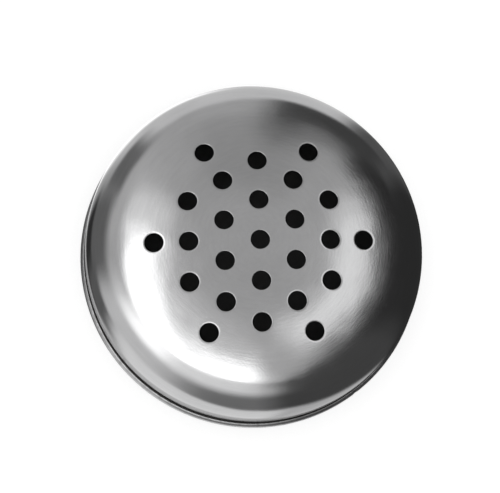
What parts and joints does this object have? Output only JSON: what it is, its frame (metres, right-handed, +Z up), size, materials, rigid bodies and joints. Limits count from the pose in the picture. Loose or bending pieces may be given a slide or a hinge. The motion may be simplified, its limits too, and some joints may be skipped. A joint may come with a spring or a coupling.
{
  "type": "perforated shaker lid",
  "caption": "Domed sheet-steel screw lid with a pattern of round sprinkling holes, a curled rim bead, an inner threaded collar and a flat sealing ring.",
  "frame": {"origin": "centre of the curled rim, on the surface that the lid stands on", "axes": "+Z up along the lid's axis, +X along one row of the holes"},
  "size_m": [0.074, 0.074, 0.022],
  "materials": {
    "polished_steel": "polished stainless steel with faint spinning marks and handling scratches",
    "rolled_steel": "bright rolled stainless steel, drawn lines round the collar, darker in the groove",
    "white_silicone": "matt off-white food-grade silicone"
  },
  "bodies": {
    "root": {"perforated_dome": "polished_steel", "threaded_collar": "rolled_steel", "sealing_ring": "white_silicone"}
  },
  "joints": []
}
